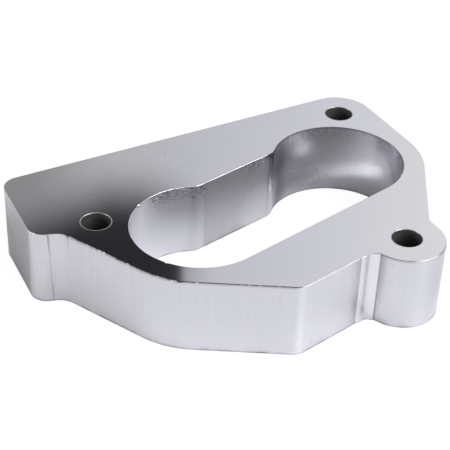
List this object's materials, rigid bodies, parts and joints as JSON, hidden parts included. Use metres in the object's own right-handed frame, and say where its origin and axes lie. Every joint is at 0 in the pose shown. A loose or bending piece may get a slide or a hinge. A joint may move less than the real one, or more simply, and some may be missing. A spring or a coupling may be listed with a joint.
{
  "type": "throttle body spacer",
  "caption": "Machined aluminium spacer plate with a dog-bone air port, plain bolt holes and flat sealing faces, for raising a throttle body above its intake manifold.",
  "frame": {"origin": "middle of the footprint's bounding box, on the underside (the manifold face)", "axes": "+X runs from the middle of the left bore to the middle of the right bore, along the plate's longest side; +Y points to the long sloping rear edge; +Z points out of the throttle body face"},
  "size_m": [0.1368, 0.1146, 0.0254],
  "materials": {
    "machined_aluminium": "bright as-machined billet: near-mirror milled faces, satin end-milled walls, lightly broken edges"
  },
  "bodies": {
    "root": {"spacer_body": "machined_aluminium"}
  },
  "joints": []
}
